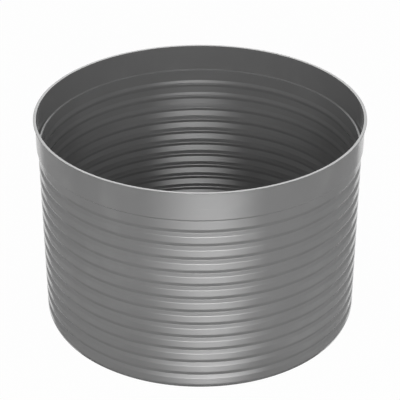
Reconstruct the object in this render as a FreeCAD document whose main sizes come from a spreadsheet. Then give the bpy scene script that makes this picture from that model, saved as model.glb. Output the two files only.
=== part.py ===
"""Extension ring for a domestic grease trap, modelled as one moulded piece.

The ring is a thin-walled tube that stands on its lower end, with its axis on Z and its origin at
the centre of that end. From the bottom up it is made of:

* a stack of like ribs, parted by shallow V-shaped valleys that show outside and inside, with the
  lower end cut square at the bottom of a valley;
* a collar: a plain stretch of the same tube, a small shoulder that steps outwards, and a smooth,
  thinner band with a narrow lip round its top edge. Its bore takes the ribbed end of the next
  ring or the rim of the trap's cover.

Both sections are drawn on the XZ plane and turned about Z. Lengths are in millimetres.
"""

import FreeCAD
import Part
import os
import Sketcher

NODE = "extension_ring"

# Driving dimensions: alias -> value in millimetres, apart from the count of ribs.
SIZES = {
    "body_outer_d": 300.0,
    "wall": 2.8,
    "rib_count": 12,
    "rib_pitch": 13.5,
    "valley_depth": 1.3,
    "valley_width": 7.4,
    "valley_bottom_round": 1.0,
    "valley_edge_round": 4.0,
    "collar_height": 40.4,
    "socket_depth": 25.4,
    "socket_clearance": 0.2,
    "collar_wall": 1.2,
    "lip_height": 0.9,
    "shoulder_round": 1.0,
    "shoulder_root_round": 0.8,
    "ledge_round": 0.5,
    "lip_root_round": 0.3,
    "rim_round": 0.3,
}

# Sizes that follow from the driving ones: alias -> formula over the same sheet.
DERIVED = {
    "outer_r": "=body_outer_d / 2",
    "inner_r": "=outer_r - wall",
    "valley_outer_r": "=outer_r - valley_depth",
    "valley_inner_r": "=inner_r - valley_depth",
    "socket_r": "=outer_r + socket_clearance",
    "band_r": "=socket_r + collar_wall",
    "lip_r": "=socket_r + wall",
    "rib_start_z": "=valley_width / 2",
    "rib_end_z": "=rib_pitch - valley_width / 2",
    "ribs_top_z": "=rib_count * rib_pitch",
    "ribs_span": "=ribs_top_z - rib_pitch",
    "collar_start_z": "=ribs_top_z + valley_width / 2",
    "ring_top_z": "=ribs_top_z + collar_height",
    "ledge_z": "=ring_top_z - socket_depth",
    "lip_low_z": "=ring_top_z - lip_height",
    "shoulder_high_z": "=ledge_z - collar_wall",
    "shoulder_low_z": "=shoulder_high_z - band_r + outer_r",
    "crest_round": "=valley_bottom_round + wall",
    "inner_edge_round": "=valley_edge_round - wall",
}

# Wall of one rib, from the middle of a valley to the middle of the next: radius, height.
RIB_SECTION = (
    ("valley_outer_r", None),
    ("outer_r", "rib_start_z"),
    ("outer_r", "rib_end_z"),
    ("valley_outer_r", "rib_pitch"),
    ("valley_inner_r", "rib_pitch"),
    ("inner_r", "rib_end_z"),
    ("inner_r", "rib_start_z"),
    ("valley_inner_r", None),
)

# Wall of the collar, outside going up and then inside coming down: radius, height.
COLLAR_SECTION = (
    ("valley_outer_r", "ribs_top_z"),
    ("outer_r", "collar_start_z"),
    ("outer_r", "shoulder_low_z"),
    ("band_r", "shoulder_high_z"),
    ("band_r", "lip_low_z"),
    ("lip_r", "lip_low_z"),
    ("lip_r", "ring_top_z"),
    ("socket_r", "ring_top_z"),
    ("socket_r", "ledge_z"),
    ("inner_r", "ledge_z"),
    ("inner_r", "collar_start_z"),
    ("valley_inner_r", "ribs_top_z"),
)


def make_sheet(doc):
    """Adds the spreadsheet of sizes, one row for each alias."""
    sheet = doc.addObject("Spreadsheet::Sheet", "sizes")
    rows = list(SIZES.items()) + list(DERIVED.items())
    for row, (alias, content) in enumerate(rows, start=1):
        sheet.set(f"A{row}", alias)
        sheet.set(f"B{row}", str(content))
        sheet.setAlias(f"B{row}", alias)
    doc.recompute()
    return sheet


def origin_item(body, role):
    """Returns the plane or axis of the body's origin that has the given role."""
    return next(item for item in body.Origin.OriginFeatures if item.Role == role)


def bind(sketch, constraint, alias):
    """Adds a dimension to a sketch and ties it to a cell of the sheet."""
    index = sketch.addConstraint(constraint)
    sketch.setExpression(f"Constraints[{index}]", f"sizes.{alias}")


def draw_section(doc, body, name, section):
    """Draws a closed, fully dimensioned section on the XZ plane, from (radius, height) aliases.

    A height of None stands for a point on the base plane.
    """
    sheet = doc.getObject("sizes")
    sketch = body.newObject("Sketcher::SketchObject", name)
    sketch.AttachmentSupport = [(origin_item(body, "XZ_Plane"), "")]
    sketch.MapMode = "FlatFace"
    points = []
    for radius, height in section:
        z = 0.0 if height is None else float(sheet.get(height))
        points.append(FreeCAD.Vector(float(sheet.get(radius)), z, 0))
    count = len(points)
    for i in range(count):
        line = Part.LineSegment(points[i], points[(i + 1) % count])
        sketch.addGeometry(line, False)
    for i in range(count):
        sketch.addConstraint(Sketcher.Constraint("Coincident", i, 2, (i + 1) % count, 1))
    for i, (radius, height) in enumerate(section):
        across = Sketcher.Constraint("DistanceX", -1, 1, i, 1, points[i].x)
        bind(sketch, across, radius)
        if height is None:
            sketch.addConstraint(Sketcher.Constraint("PointOnObject", i, 1, -1))
        else:
            up = Sketcher.Constraint("DistanceY", -1, 1, i, 1, points[i].y)
            bind(sketch, up, height)
    doc.recompute()
    return sketch


def turn(doc, body, sketch, name):
    """Turns a section a full circle about Z."""
    feature = body.newObject("PartDesign::Revolution", name)
    feature.Profile = sketch
    feature.ReferenceAxis = (sketch, ["V_Axis"])
    feature.Angle = 360.0
    sketch.Visibility = False
    doc.recompute()
    return feature


def repeat_up(doc, body, original, name):
    """Repeats the rib along Z, one for each count in the sheet."""
    pattern = body.newObject("PartDesign::LinearPattern", name)
    pattern.Originals = [original]
    pattern.Direction = (origin_item(body, "Z_Axis"), [""])
    pattern.setExpression("Length", "sizes.ribs_span")
    pattern.setExpression("Occurrences", "sizes.rib_count")
    body.Tip = pattern
    doc.recompute()
    return pattern


def circles_at(shape, radius, heights):
    """Returns the names of the circular edges that have a radius and stand at given heights."""
    names = []
    for index, edge in enumerate(shape.Edges, start=1):
        if not isinstance(edge.Curve, Part.Circle):
            continue
        if abs(edge.Curve.Radius - radius) > 1e-4:
            continue
        if any(abs(edge.Curve.Center.z - z) < 1e-4 for z in heights):
            names.append(f"Edge{index}")
    return names


def round_edges(doc, body, base, name, radius, heights, alias):
    """Rounds a set of circular edges by a radius held in the sheet."""
    names = circles_at(base.Shape, radius, heights)
    if not names:
        raise RuntimeError(f"{name}: no edge found")
    fillet = body.newObject("PartDesign::Fillet", name)
    fillet.Base = (base, names)
    fillet.Radius = float(doc.getObject("sizes").get(alias))
    fillet.setExpression("Radius", f"sizes.{alias}")
    body.Tip = fillet
    doc.recompute()
    return fillet


def check_feature(feature):
    """Stops the build if a feature failed or isn't one closed, valid solid."""
    problems = [word for word in feature.State if word != "Up-to-date"]
    shape = feature.Shape
    if problems or shape.isNull() or not shape.isValid() or len(shape.Solids) != 1:
        raise RuntimeError(f"{feature.Name}: {problems or 'shape is not one valid solid'}")


def section_volume(sheet, section):
    """Returns the volume that a section sweeps in a full turn, by Pappus's rule, in mm3."""
    points = []
    for radius, height in section:
        z = 0.0 if height is None else float(sheet.get(height))
        points.append((float(sheet.get(radius)), z))
    total = 0.0
    for (r0, z0), (r1, z1) in zip(points, points[1:] + points[:1]):
        total += (r0 * r0 + r0 * r1 + r1 * r1) * (z1 - z0)
    return abs(total) * 3.141592653589793 / 3.0


def build_ring(doc):
    """Builds the ring and returns its body."""
    sheet = make_sheet(doc)
    size = {alias: float(sheet.get(alias)) for alias in list(SIZES) + list(DERIVED)}
    body = doc.addObject("PartDesign::Body", NODE)

    rib_section = draw_section(doc, body, "RibSection", RIB_SECTION)
    rib = turn(doc, body, rib_section, "Rib")
    ribs = repeat_up(doc, body, rib, "Ribs")
    rib_volume = section_volume(sheet, RIB_SECTION)
    if abs(ribs.Shape.Volume / (rib_volume * size["rib_count"]) - 1) > 1e-3:
        raise RuntimeError("Ribs: the stack doesn't have the volume of its ribs")

    collar_section = draw_section(doc, body, "CollarSection", COLLAR_SECTION)
    collar = turn(doc, body, collar_section, "Collar")
    collar_volume = section_volume(sheet, COLLAR_SECTION)
    if abs((collar.Shape.Volume - ribs.Shape.Volume) / collar_volume - 1) > 1e-3:
        raise RuntimeError("Collar: the collar doesn't have the volume of its section")

    pitch = size["rib_pitch"]
    count = int(size["rib_count"])
    half_valley = size["valley_width"] / 2
    valleys = [pitch * i for i in range(1, count + 1)]
    edges = [half_valley]
    for z in valleys:
        edges.append(z - half_valley)
        edges.append(z + half_valley)
    ledge = [size["ledge_z"]]
    top = [size["ring_top_z"]]
    lip_low = [size["lip_low_z"]]
    shoulder_low = [size["shoulder_low_z"]]
    shoulder_high = [size["shoulder_high_z"]]
    rounds = (
        ("ValleyBottoms", size["valley_outer_r"], valleys, "valley_bottom_round"),
        ("ValleyEdges", size["outer_r"], edges, "valley_edge_round"),
        ("InnerCrests", size["valley_inner_r"], valleys, "crest_round"),
        ("InnerEdges", size["inner_r"], edges, "inner_edge_round"),
        ("ShoulderRoot", size["outer_r"], shoulder_low, "shoulder_root_round"),
        ("ShoulderEdge", size["band_r"], shoulder_high, "shoulder_round"),
        ("LedgeEdge", size["inner_r"], ledge, "ledge_round"),
        ("LipRoot", size["band_r"], lip_low, "lip_root_round"),
        ("LipUnderside", size["lip_r"], lip_low, "rim_round"),
        ("RimOutside", size["lip_r"], top, "rim_round"),
        ("RimInside", size["socket_r"], top, "rim_round"),
    )
    feature = collar
    for name, radius, heights, alias in rounds:
        feature = round_edges(doc, body, feature, name, radius, heights, alias)
        check_feature(feature)
    return body


def main():
    """Builds the ring and writes its solid as a STEP file."""
    doc = FreeCAD.newDocument("extension_ring_part")
    body = build_ring(doc)
    check_feature(body)
    os.makedirs("parts", exist_ok=True)
    body.Shape.exportStep(f"parts/{NODE}.step")
    box = body.Shape.BoundBox
    print(f"{NODE}: {box.XLength:.2f} x {box.YLength:.2f} x {box.ZLength:.2f} mm, "
          f"{body.Shape.Volume / 1000:.1f} cm3, {len(body.Shape.Faces)} faces")


main()
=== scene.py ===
"""Looks of a moulded plastic extension ring for a grease trap.

The ring is one thin-walled moulding: a stack of like ribs parted by shallow valleys, and a smooth
collar on top. It is turned here as one fine mesh and dressed with a procedural finish. The scene
adds a pale floor, soft studio lights and a camera. Sizes are in metres unless a name says mm.
"""

import logging
import math
from dataclasses import dataclass, field
from enum import Enum
from typing import Any, Optional, Sequence

import bmesh
import bpy
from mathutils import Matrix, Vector

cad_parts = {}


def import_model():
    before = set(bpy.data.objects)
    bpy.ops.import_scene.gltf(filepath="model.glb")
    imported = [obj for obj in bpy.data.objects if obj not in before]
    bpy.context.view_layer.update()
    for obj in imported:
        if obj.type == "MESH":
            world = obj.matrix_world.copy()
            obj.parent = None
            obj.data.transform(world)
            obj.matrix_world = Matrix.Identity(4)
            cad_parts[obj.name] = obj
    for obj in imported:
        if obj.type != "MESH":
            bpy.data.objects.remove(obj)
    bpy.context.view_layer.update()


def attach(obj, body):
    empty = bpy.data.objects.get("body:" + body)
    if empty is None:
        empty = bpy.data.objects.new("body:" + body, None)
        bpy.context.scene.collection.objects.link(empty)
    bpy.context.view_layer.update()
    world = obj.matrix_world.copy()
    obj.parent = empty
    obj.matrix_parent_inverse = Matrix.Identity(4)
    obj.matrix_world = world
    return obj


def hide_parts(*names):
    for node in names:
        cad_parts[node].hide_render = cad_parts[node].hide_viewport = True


LOG = logging.getLogger("extension_ring")
MM = 0.001
# Height that the lamps point at, the middle of the ring.
AIM_HEIGHT = 0.10

Point = tuple[float, float]


def linear(hex_colour: str) -> tuple[float, float, float, float]:
    """Turns an sRGB hex colour into the linear colour that the shaders take.

    Args:
        hex_colour: Colour as six hex digits, with or without a leading hash.

    Returns:
        Linear red, green, blue and an alpha of 1.
    """
    digits = hex_colour.lstrip("#")
    channels = [int(digits[i:i + 2], 16) / 255 for i in (0, 2, 4)]
    red, green, blue = (
        c / 12.92 if c <= 0.04045 else ((c + 0.055) / 1.055) ** 2.4 for c in channels
    )
    return (red, green, blue, 1.0)


def add_node(
    tree: bpy.types.NodeTree,
    kind: str,
    settings: Optional[dict[str, Any]] = None,
    inputs: Optional[dict[Any, Any]] = None,
) -> bpy.types.Node:
    """Adds a node, sets it up and links what feeds it.

    Args:
        tree: Node tree that takes the node.
        kind: Type name of the node.
        settings: Attributes of the node and their values.
        inputs: Input names or places, each with a value or with the socket that feeds it.

    Returns:
        The new node.
    """
    node = tree.nodes.new(kind)
    for name, value in (settings or {}).items():
        setattr(node, name, value)
    for name, value in (inputs or {}).items():
        if isinstance(value, bpy.types.NodeSocket):
            tree.links.new(value, node.inputs[name])
        else:
            node.inputs[name].default_value = value
    return node


def seen_or_mirrored(tree: bpy.types.NodeTree) -> bpy.types.NodeSocket:
    """Tells the rays that show a thing, straight or in a mirror, from those that light by it.

    Args:
        tree: Node tree that takes the nodes.

    Returns:
        A socket that is 1 for camera, glossy and transmission rays and 0 for others.
    """
    path = add_node(tree, "ShaderNodeLightPath")
    mirrored = add_node(
        tree, "ShaderNodeMath", {"operation": "MAXIMUM"},
        {0: path.outputs["Is Glossy Ray"], 1: path.outputs["Is Transmission Ray"]},
    )
    seen = add_node(
        tree, "ShaderNodeMath", {"operation": "MAXIMUM"},
        {0: path.outputs["Is Camera Ray"], 1: mirrored.outputs["Value"]},
    )
    return seen.outputs["Value"]


def flat_sheet(
    name: str, half_width: float, half_height: float, material: bpy.types.Material,
) -> bpy.types.Object:
    """Args:
        name: Name of the sheet and its mesh.
        half_width: Half of its side along X.
        half_height: Half of its side along Y.
        material: What it is made of.

    Returns:
        The sheet, centred on the origin.
    """
    mesh = bpy.data.meshes.new(name)
    corners = [
        (-half_width, -half_height, 0), (half_width, -half_height, 0),
        (half_width, half_height, 0), (-half_width, half_height, 0),
    ]
    mesh.from_pydata(corners, [], [(0, 1, 2, 3)])
    mesh.materials.append(material)
    sheet = bpy.data.objects.new(name, mesh)
    bpy.context.scene.collection.objects.link(sheet)
    return sheet


class Round(Enum):
    """How many steps divide a rounded corner."""

    COARSE = 2
    MEDIUM = 4
    FINE = 5


@dataclass(frozen=True)
class Corner:
    """A corner of the wall's section, as radius and height, with its rounding."""

    radius: float
    height: float
    rounding: float = 0.0
    steps: Round = Round.COARSE

    def at(self) -> Vector:
        """Returns the corner as a flat vector of radius and height."""
        return Vector((self.radius, self.height))


def rounded(corners: Sequence[Corner]) -> list[Point]:
    """Follows a closed loop of corners and rounds each one that has a radius.

    Args:
        corners: Corners in order round the section.

    Returns:
        Points of the loop, as radius and height.
    """
    points: list[Point] = []
    count = len(corners)
    for i, corner in enumerate(corners):
        here = corner.at()
        if corner.rounding <= 0:
            points.append((here.x, here.y))
            continue
        back = (corners[i - 1].at() - here).normalized()
        ahead = (corners[(i + 1) % count].at() - here).normalized()
        half = back.angle(ahead) / 2
        reach = corner.rounding / math.tan(half)
        centre = here + (back + ahead).normalized() * (corner.rounding / math.sin(half))
        start = here + back * reach - centre
        end = here + ahead * reach - centre
        sweep = math.pi - 2 * half
        turn = 1 if start.x * end.y - start.y * end.x > 0 else -1
        for step in range(corner.steps.value + 1):
            angle = turn * sweep * step / corner.steps.value
            x = start.x * math.cos(angle) - start.y * math.sin(angle)
            y = start.x * math.sin(angle) + start.y * math.cos(angle)
            points.append((centre.x + x, centre.y + y))
    return points


@dataclass
class RibStack:
    """The ribs below the collar, each with half a valley at both of its ends."""

    outer_radius: float = 150.0 * MM
    wall: float = 2.8 * MM
    count: int = 12
    pitch: float = 13.5 * MM
    valley_depth: float = 1.3 * MM
    valley_width: float = 7.4 * MM
    valley_round: float = 1.0 * MM
    edge_round: float = 4.0 * MM

    @property
    def inner_radius(self) -> float:
        """Radius of the bore behind the crown of a rib."""
        return self.outer_radius - self.wall

    @property
    def top(self) -> float:
        """Height of the last valley's middle, where the collar starts."""
        return self.count * self.pitch

    def outside(self) -> list[Corner]:
        """Returns the outer corners of the ribs, from the foot up to the last valley."""
        low = self.outer_radius - self.valley_depth
        half = self.valley_width / 2
        corners = [Corner(low, 0.0)]
        for i in range(self.count):
            base = i * self.pitch
            for height in (base + half, base + self.pitch - half):
                corners.append(
                    Corner(self.outer_radius, height, self.edge_round, Round.MEDIUM)
                )
            corners.append(
                Corner(low, base + self.pitch, self.valley_round, Round.MEDIUM)
            )
        return corners

    def inside(self) -> list[Corner]:
        """Returns the inner corners of the ribs, from the last valley down to the foot."""
        low = self.inner_radius - self.valley_depth
        half = self.valley_width / 2
        crest = self.valley_round + self.wall
        edge = self.edge_round - self.wall
        corners: list[Corner] = []
        for i in reversed(range(self.count)):
            base = i * self.pitch
            corners.append(Corner(low, base + self.pitch, crest, Round.FINE))
            for height in (base + self.pitch - half, base + half):
                corners.append(Corner(self.inner_radius, height, edge, Round.COARSE))
        corners.append(Corner(low, 0.0))
        return corners


@dataclass
class Collar:
    """The smooth, lipped socket on top, with its shoulder outside and its ledge inside."""

    ribs: RibStack
    height: float = 40.4 * MM
    socket_depth: float = 25.4 * MM
    clearance: float = 0.2 * MM
    wall: float = 1.2 * MM
    lip_height: float = 0.9 * MM
    shoulder_round: float = 1.0 * MM
    root_round: float = 0.8 * MM
    ledge_round: float = 0.5 * MM
    lip_root_round: float = 0.3 * MM
    rim_round: float = 0.3 * MM

    @property
    def top(self) -> float:
        """Height of the rim."""
        return self.ribs.top + self.height

    @property
    def socket_radius(self) -> float:
        """Radius of the socket's bore."""
        return self.ribs.outer_radius + self.clearance

    @property
    def band_radius(self) -> float:
        """Outer radius of the smooth band."""
        return self.socket_radius + self.wall

    @property
    def lip_radius(self) -> float:
        """Outer radius of the lip round the band's top edge."""
        return self.socket_radius + self.ribs.wall

    @property
    def ledge(self) -> float:
        """Height of the ledge inside."""
        return self.top - self.socket_depth

    def corners(self) -> list[Corner]:
        """Returns the corners above the ribs, up the outside, over the rim and down."""
        ribs = self.ribs
        start = ribs.top + ribs.valley_width / 2
        shoulder = self.ledge - self.wall
        step = self.band_radius - ribs.outer_radius
        lip_low = self.top - self.lip_height
        edge = ribs.edge_round - ribs.wall
        return [
            Corner(ribs.outer_radius, start, ribs.edge_round, Round.MEDIUM),
            Corner(ribs.outer_radius, shoulder - step, self.root_round, Round.COARSE),
            Corner(self.band_radius, shoulder, self.shoulder_round, Round.MEDIUM),
            Corner(self.band_radius, lip_low, self.lip_root_round, Round.COARSE),
            Corner(self.lip_radius, lip_low, self.rim_round, Round.MEDIUM),
            Corner(self.lip_radius, self.top, self.rim_round, Round.MEDIUM),
            Corner(self.socket_radius, self.top, self.rim_round, Round.MEDIUM),
            Corner(self.socket_radius, self.ledge),
            Corner(ribs.inner_radius, self.ledge, self.ledge_round, Round.MEDIUM),
            Corner(ribs.inner_radius, start, edge, Round.COARSE),
        ]


@dataclass(frozen=True)
class MouldedPlastic:
    """Finish of the whole ring: mid-grey uPVC, injection-moulded in a polished steel mould.

    It gives the eye an even, opaque grey with a soft satin gloss, faint cloudy flow marks, a very
    slight waviness of the skin and a few rubbed, paler places on the crowns and the rim.
    """

    name: str = "upvc_injection_moulded_grey"
    body_hex: str = "#717171"
    deep_hex: str = "#6b6b6b"
    rubbed_hex: str = "#7a7a7a"
    # Rigid plastics lie between 1.49 and 1.54.
    ior: float = 1.5
    roughness_low: float = 0.12
    roughness_high: float = 0.17
    # Flow marks are a hand's width across.
    flow_mm: float = 85.0
    # Skin waviness over a few centimetres, as thin walls have after they cool.
    wave_mm: float = 28.0
    wave_depth_mm: float = 0.010
    # The mould's polish leaves a grain near 0.2 mm, drawn at 1.1 mm so that it shows.
    grain_mm: float = 1.1
    grain_depth_mm: float = 0.004
    # Hairline scuffs run round the ring, a few centimetres long and this many times thinner.
    scuff_mm: float = 34.0
    scuff_squeeze: float = 22.0
    # Noise levels between which a scuff, a rubbed patch and the spread of the gloss set in.
    scuff_levels: tuple[float, float] = (0.66, 0.76)
    rubbed_levels: tuple[float, float] = (0.45, 0.75)
    gloss_levels: tuple[float, float] = (0.3, 0.7)
    # How far in from a crown's top, and down from the rim, the rubbing reaches and is full.
    crown_reach_mm: tuple[float, float] = (0.5, 0.05)
    rim_reach_mm: tuple[float, float] = (0.8, 0.1)
    # How much of the rubbed colour worn places take, and what they add to the roughness.
    worn_colour: float = 0.6
    worn_roughness: float = 0.05

    def build(self, ribs: RibStack, collar: Collar) -> bpy.types.Material:
        """Makes the material.

        Args:
            ribs: Rib stack, for the radius at which a crown is rubbed.
            collar: Collar, for the height of the rim.

        Returns:
            The finished material.
        """
        material = bpy.data.materials.new(self.name)
        material.use_nodes = True
        tree = material.node_tree
        tree.nodes.clear()
        place = add_node(tree, "ShaderNodeTexCoord").outputs["Object"]
        split = add_node(tree, "ShaderNodeSeparateXYZ", inputs={0: place})

        flow = add_node(
            tree, "ShaderNodeTexNoise",
            inputs={"Vector": place, "Scale": 1000 / self.flow_mm, "Detail": 3.0,
                    "Roughness": 0.55, "Distortion": 0.6},
        )
        grain = add_node(
            tree, "ShaderNodeTexNoise",
            inputs={"Vector": place, "Scale": 1000 / self.grain_mm, "Detail": 2.0},
        )
        wave = add_node(
            tree, "ShaderNodeTexNoise",
            inputs={"Vector": place, "Scale": 1000 / self.wave_mm, "Detail": 1.0},
        )

        # Rubbed places: the crowns stand furthest out, and the rim is the top edge.
        across = add_node(
            tree, "ShaderNodeVectorMath", {"operation": "MULTIPLY"},
            {0: place, 1: (1.0, 1.0, 0.0)},
        )
        radius = add_node(
            tree, "ShaderNodeVectorMath", {"operation": "LENGTH"},
            {0: across.outputs["Vector"]},
        )
        crown = add_node(
            tree, "ShaderNodeMapRange", {"interpolation_type": "SMOOTHSTEP"},
            {"Value": radius.outputs["Value"],
             "From Min": ribs.outer_radius - self.crown_reach_mm[0] * MM,
             "From Max": ribs.outer_radius - self.crown_reach_mm[1] * MM},
        )
        rim = add_node(
            tree, "ShaderNodeMapRange", {"interpolation_type": "SMOOTHSTEP"},
            {"Value": split.outputs["Z"],
             "From Min": collar.top - self.rim_reach_mm[0] * MM,
             "From Max": collar.top - self.rim_reach_mm[1] * MM},
        )
        handled = add_node(
            tree, "ShaderNodeMath", {"operation": "MAXIMUM"},
            {0: crown.outputs["Result"], 1: rim.outputs["Result"]},
        )
        patches = add_node(
            tree, "ShaderNodeMapRange", {"interpolation_type": "SMOOTHSTEP"},
            {"Value": flow.outputs["Fac"], "From Min": self.rubbed_levels[0],
             "From Max": self.rubbed_levels[1]},
        )
        rubbed = add_node(
            tree, "ShaderNodeMath", {"operation": "MULTIPLY"},
            {0: handled.outputs["Value"], 1: patches.outputs["Result"]},
        )

        # Hairline scuffs: stretched along the ring's run, so squeezed along Z.
        squeezed = add_node(
            tree, "ShaderNodeMapping",
            inputs={"Vector": place, "Scale": (1.0, 1.0, self.scuff_squeeze)},
        )
        scuffs = add_node(
            tree, "ShaderNodeTexNoise",
            inputs={"Vector": squeezed.outputs["Vector"], "Scale": 1000 / self.scuff_mm,
                    "Detail": 4.0, "Roughness": 0.7},
        )
        scuff_lines = add_node(
            tree, "ShaderNodeMapRange",
            inputs={"Value": scuffs.outputs["Fac"], "From Min": self.scuff_levels[0],
                    "From Max": self.scuff_levels[1]},
        )

        cloudy = add_node(
            tree, "ShaderNodeMix", {"data_type": "RGBA"},
            {"Factor": flow.outputs["Fac"], 6: linear(self.deep_hex),
             7: linear(self.body_hex)},
        )
        wear = add_node(
            tree, "ShaderNodeMath", {"operation": "MAXIMUM"},
            {0: rubbed.outputs["Value"], 1: scuff_lines.outputs["Result"]},
        )
        wear_part = add_node(
            tree, "ShaderNodeMath", {"operation": "MULTIPLY"},
            {0: wear.outputs["Value"], 1: self.worn_colour},
        )
        colour = add_node(
            tree, "ShaderNodeMix", {"data_type": "RGBA"},
            {"Factor": wear_part.outputs["Value"], 6: cloudy.outputs[2],
             7: linear(self.rubbed_hex)},
        )
        gloss_spread = add_node(
            tree, "ShaderNodeMapRange",
            inputs={"Value": flow.outputs["Fac"], "From Min": self.gloss_levels[0],
                    "From Max": self.gloss_levels[1], "To Min": self.roughness_low,
                    "To Max": self.roughness_high},
        )
        gloss = add_node(
            tree, "ShaderNodeMath", {"operation": "MULTIPLY_ADD", "use_clamp": True},
            {0: wear.outputs["Value"], 1: self.worn_roughness,
             2: gloss_spread.outputs["Result"]},
        )
        wavy = add_node(
            tree, "ShaderNodeBump",
            inputs={"Strength": 1.0, "Distance": self.wave_depth_mm * MM,
                    "Height": wave.outputs["Fac"]},
        )
        grainy = add_node(
            tree, "ShaderNodeBump",
            inputs={"Strength": 1.0, "Distance": self.grain_depth_mm * MM,
                    "Height": grain.outputs["Fac"], "Normal": wavy.outputs["Normal"]},
        )
        shader = add_node(
            tree, "ShaderNodeBsdfPrincipled",
            inputs={"Base Color": colour.outputs[2], "Roughness": gloss.outputs["Value"],
                    "IOR": self.ior, "Normal": grainy.outputs["Normal"]},
        )
        add_node(
            tree, "ShaderNodeOutputMaterial", inputs={"Surface": shader.outputs["BSDF"]},
        )
        return material


@dataclass
class ExtensionRing:
    """The whole moulding: one section turned about Z."""

    ribs: RibStack = field(default_factory=RibStack)
    finish: MouldedPlastic = field(default_factory=MouldedPlastic)
    segments: int = 256
    # Corners that turn more than this many degrees stay sharp.
    sharp_degrees: float = 30.0

    @property
    def collar(self) -> Collar:
        """The collar that stands on the ribs."""
        return Collar(self.ribs)

    def section(self) -> list[Point]:
        """Returns the closed section of the wall, as radius and height."""
        return rounded(self.ribs.outside() + self.collar.corners() + self.ribs.inside())

    def build(self) -> bpy.types.Object:
        """Turns the section into a mesh and dresses it.

        Returns:
            The ring, standing on the floor with its axis on Z.
        """
        points = self.section()
        mesh = bpy.data.meshes.new("ring_moulding")
        shape = bmesh.new()
        loops = []
        for i in range(self.segments):
            angle = 2 * math.pi * i / self.segments
            along, side = math.cos(angle), math.sin(angle)
            loops.append([shape.verts.new((r * along, r * side, z)) for r, z in points])
        for i, loop in enumerate(loops):
            beside = loops[(i + 1) % self.segments]
            for j in range(len(points)):
                k = (j + 1) % len(points)
                shape.faces.new((loop[j], beside[j], beside[k], loop[k]))
        for face in shape.faces:
            face.smooth = True
        sharp = math.radians(self.sharp_degrees)
        for edge in shape.edges:
            edge.smooth = edge.calc_face_angle(0.0) < sharp
        bmesh.ops.recalc_face_normals(shape, faces=shape.faces)
        shape.to_mesh(mesh)
        shape.free()
        ring = bpy.data.objects.new("ring_moulding", mesh)
        bpy.context.scene.collection.objects.link(ring)
        mesh.materials.append(self.finish.build(self.ribs, self.collar))
        even = ring.modifiers.new("even_shading", "WEIGHTED_NORMAL")
        even.mode = "FACE_AREA"
        even.weight = 100
        even.keep_sharp = True
        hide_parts("extension_ring")
        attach(ring, "root")
        return ring


@dataclass(frozen=True)
class PaintedBoard:
    """Finish of the studio floor: matt white painted board.

    It gives the eye a plain, almost white ground that still takes the ring's soft shadow.
    """

    name: str = "matt_white_painted_board"
    paint_hex: str = "#f4f4f4"
    fleck_hex: str = "#f0f0f0"
    # Roller texture of such paint is about 2 mm.
    roller_mm: float = 2.0
    # Part of the board's look that is plain white, and so free of the lamps.
    white_part: float = 0.97

    def build(self) -> bpy.types.Material:
        """Makes the material: lit paint, mixed with plain white where it is seen or mirrored."""
        material = bpy.data.materials.new(self.name)
        material.use_nodes = True
        tree = material.node_tree
        tree.nodes.clear()
        place = add_node(tree, "ShaderNodeTexCoord").outputs["Object"]
        roller = add_node(
            tree, "ShaderNodeTexNoise",
            inputs={"Vector": place, "Scale": 1000 / self.roller_mm, "Detail": 2.0},
        )
        paint = add_node(
            tree, "ShaderNodeMix", {"data_type": "RGBA"},
            {"Factor": roller.outputs["Fac"], 6: linear(self.fleck_hex),
             7: linear(self.paint_hex)},
        )
        lit = add_node(
            tree, "ShaderNodeBsdfDiffuse", inputs={"Color": paint.outputs[2]},
        )
        white = add_node(
            tree, "ShaderNodeEmission", inputs={"Color": (1, 1, 1, 1), "Strength": 1.0},
        )
        part = add_node(
            tree, "ShaderNodeMath", {"operation": "MULTIPLY"},
            {0: seen_or_mirrored(tree), 1: self.white_part},
        )
        mixed = add_node(
            tree, "ShaderNodeMixShader",
            inputs={0: part.outputs["Value"], 1: lit.outputs["BSDF"],
                    2: white.outputs["Emission"]},
        )
        add_node(
            tree, "ShaderNodeOutputMaterial", inputs={"Surface": mixed.outputs["Shader"]},
        )
        return material


@dataclass(frozen=True)
class SoftLamp:
    """A softbox: a flat lamp that points at the ring."""

    name: str
    place: tuple[float, float, float]
    width: float
    height: float
    watts: float

    def build(self) -> bpy.types.Object:
        """Makes the lamp, unseen by the camera itself."""
        light = bpy.data.lights.new(self.name, "AREA")
        light.shape = "RECTANGLE"
        light.size = self.width
        light.size_y = self.height
        light.energy = self.watts
        lamp = bpy.data.objects.new(self.name, light)
        bpy.context.scene.collection.objects.link(lamp)
        lamp.location = self.place
        aim = Vector((0.0, 0.0, AIM_HEIGHT)) - Vector(self.place)
        lamp.rotation_euler = aim.to_track_quat("-Z", "Y").to_euler()
        lamp.visible_camera = False
        lamp.visible_glossy = False
        return lamp


@dataclass(frozen=True)
class Glow:
    """One soft patch of light on a panel: where it is, how far it reaches and how strong.

    The reach is the distance at which the light has fallen to a half.
    """

    across: float
    up: float
    reach_across: float
    reach_up: float
    strength: float


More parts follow.
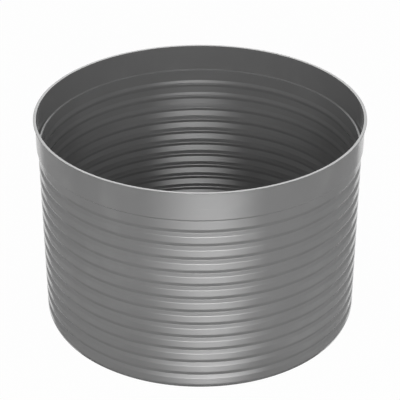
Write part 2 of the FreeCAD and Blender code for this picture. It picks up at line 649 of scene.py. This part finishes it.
@dataclass(frozen=True)
class StudioPanel:
    """A flat panel round the ring that shows in its gloss alone.

    With glows it is white diffuser cloth, lit from behind in soft patches. With none it is a flag
    of grey felt, which keeps the ring's sides and valleys from mirroring the white room.
    """

    name: str
    place: tuple[float, float, float]
    facing: tuple[float, float, float]
    half_width: float
    half_height: float
    base: float
    glows: tuple[Glow, ...] = ()

    def level(self, tree: bpy.types.NodeTree) -> Optional[bpy.types.NodeSocket]:
        """Adds up the glows over the panel.

        Args:
            tree: Node tree of the panel's material.

        Returns:
            The socket that holds the brightness, or None for a plain panel.
        """
        if not self.glows:
            return None
        place = add_node(tree, "ShaderNodeTexCoord").outputs["Object"]
        total: Optional[bpy.types.NodeSocket] = None
        for glow in self.glows:
            centred = add_node(
                tree, "ShaderNodeVectorMath", {"operation": "SUBTRACT"},
                {0: place, 1: (glow.across, glow.up, 0.0)},
            )
            even = add_node(
                tree, "ShaderNodeVectorMath", {"operation": "DIVIDE"},
                {0: centred.outputs["Vector"], 1: (glow.reach_across, glow.reach_up, 1.0)},
            )
            off = add_node(
                tree, "ShaderNodeVectorMath", {"operation": "DOT_PRODUCT"},
                {0: even.outputs["Vector"], 1: even.outputs["Vector"]},
            )
            bell = add_node(
                tree, "ShaderNodeMath", {"operation": "POWER"}, {0: 0.5, 1: off.outputs["Value"]},
            )
            level = add_node(
                tree, "ShaderNodeMath", {"operation": "MULTIPLY_ADD"},
                {0: bell.outputs["Value"], 1: glow.strength,
                 2: self.base if total is None else total},
            )
            total = level.outputs["Value"]
        return total

    def surface(self) -> bpy.types.Material:
        """Makes the panel's cloth or felt."""
        kind = "_nylon_diffuser_cloth" if self.glows else "_grey_felt"
        material = bpy.data.materials.new(self.name + kind)
        material.use_nodes = True
        tree = material.node_tree
        tree.nodes.clear()
        level = self.level(tree)
        shine = add_node(
            tree, "ShaderNodeEmission",
            inputs={"Color": (1, 1, 1, 1), "Strength": self.base if level is None else level},
        )
        add_node(
            tree, "ShaderNodeOutputMaterial", inputs={"Surface": shine.outputs["Emission"]},
        )
        return material

    def build(self) -> bpy.types.Object:
        """Hangs the panel upright or tilted, facing the way it was given."""
        panel = flat_sheet(self.name, self.half_width, self.half_height, self.surface())
        panel.location = self.place
        panel.rotation_euler = Vector(self.facing).to_track_quat("Z", "Y").to_euler()
        panel.visible_camera = False
        panel.visible_diffuse = False
        panel.visible_shadow = False
        return panel


@dataclass
class Studio:
    """Floor, surrounding light, panels and lamps."""

    floor_width: float = 40.0
    # Light from the upper half of the surround, and from the lower half, which is paler.
    upper_light: float = 0.52
    lower_light: float = 1.0
    # Rise or fall of a direction over which the two halves blend at the horizon.
    horizon_blend: float = 0.1
    board: PaintedBoard = field(default_factory=PaintedBoard)
    panels: tuple[StudioPanel, ...] = (
        StudioPanel(
            "front_panel", (0.16, -1.50, 0.10), (0.0, 1.0, 0.0), 1.5, 1.6, 0.15,
            (Glow(0.0, -0.96, 0.60, 0.52, 5.2), Glow(0.0, -0.24, 0.60, 0.13, 20.0),
             Glow(0.0, 0.36, 0.62, 0.24, 4.4)),
        ),
        StudioPanel(
            "back_panel", (0.0, 1.60, 1.15), (0.0, -0.86, -0.5), 1.5, 0.9, 1.0,
            (Glow(0.0, 0.0, 0.6, 0.35, 4.5),),
        ),
        StudioPanel("under_flag", (0.0, -0.6, -1.6), (0.0, 0.0, 1.0), 3.0, 1.9, 0.10),
        StudioPanel("left_flag", (-2.0, -0.1, -1.0), (1.0, 0.0, 0.0), 2.6, 2.4, 0.38),
        StudioPanel("right_flag", (2.0, -0.1, -1.0), (-1.0, 0.0, 0.0), 2.6, 2.4, 0.38),
    )
    # One softbox looks over the near rim at the far wall. The low strips light the outside alone.
    lamps: tuple[SoftLamp, ...] = (
        SoftLamp("front_softbox", (0.1, -1.85, 0.86), 0.7, 0.5, 15.5),
        SoftLamp("front_left_strip", (-1.3, -1.1, 0.12), 1.0, 0.22, 4.2),
        SoftLamp("front_right_strip", (1.3, -1.1, 0.12), 1.0, 0.22, 4.2),
        SoftLamp("back_left_strip", (-1.3, 1.1, 0.12), 1.0, 0.22, 4.2),
        SoftLamp("back_right_strip", (1.3, 1.1, 0.12), 1.0, 0.22, 4.2),
    )

    def build_floor(self) -> bpy.types.Object:
        """Lays the floor as one flat board under the ring."""
        half = self.floor_width / 2
        floor = flat_sheet("studio_floor", half, half, self.board.build())
        floor.visible_glossy = False
        floor.visible_shadow = False
        return floor

    def build_surround(self) -> None:
        """Makes the even light all round, seen and mirrored as plain white."""
        world = bpy.data.worlds.new("studio_surround")
        world.use_nodes = True
        tree = world.node_tree
        tree.nodes.clear()
        way = add_node(tree, "ShaderNodeTexCoord").outputs["Generated"]
        climb = add_node(tree, "ShaderNodeSeparateXYZ", inputs={0: way})
        room = add_node(
            tree, "ShaderNodeMapRange", {"interpolation_type": "SMOOTHSTEP"},
            {"Value": climb.outputs["Z"], "From Min": -self.horizon_blend,
             "From Max": self.horizon_blend, "To Min": self.lower_light, "To Max": self.upper_light},
        )
        level = add_node(
            tree, "ShaderNodeMapRange",
            inputs={"Value": seen_or_mirrored(tree), "To Min": room.outputs["Result"],
                    "To Max": 1.0},
        )
        shader = add_node(
            tree, "ShaderNodeBackground",
            inputs={"Color": (1, 1, 1, 1), "Strength": level.outputs["Result"]},
        )
        add_node(
            tree, "ShaderNodeOutputWorld", inputs={"Surface": shader.outputs["Background"]},
        )
        bpy.context.scene.world = world

    def build(self) -> None:
        """Builds the floor, the surround, the panels and the lamps."""
        self.build_floor()
        self.build_surround()
        for panel in self.panels:
            panel.build()
        for lamp in self.lamps:
            lamp.build()


@dataclass(frozen=True)
class StudioCamera:
    """Camera in front of the ring, looking down into it."""

    place: tuple[float, float, float] = (0.0, -1.1257, 0.7582)
    pitch_down: float = 30.0
    lens: float = 122.5

    def build(self) -> bpy.types.Object:
        """Makes the camera and hands it to the scene."""
        data = bpy.data.cameras.new("studio_camera")
        data.lens = self.lens
        data.sensor_width = 36.0
        camera = bpy.data.objects.new("studio_camera", data)
        bpy.context.scene.collection.objects.link(camera)
        camera.location = self.place
        camera.rotation_euler = (math.radians(90 - self.pitch_down), 0.0, 0.0)
        bpy.context.scene.camera = camera
        return camera


def main() -> None:
    """Builds the ring and its studio, and notes the ring's face count."""
    logging.basicConfig(level=logging.INFO, format="%(name)s: %(message)s")
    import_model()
    bpy.context.scene.view_settings.view_transform = "Standard"
    ring = ExtensionRing().build()
    LOG.info("ring: %d faces", len(ring.data.polygons))
    Studio().build()
    LOG.info("studio: floor, surround and lamps")
    StudioCamera().build()
    LOG.info("camera: set")


if __name__ == "__main__":
    main()
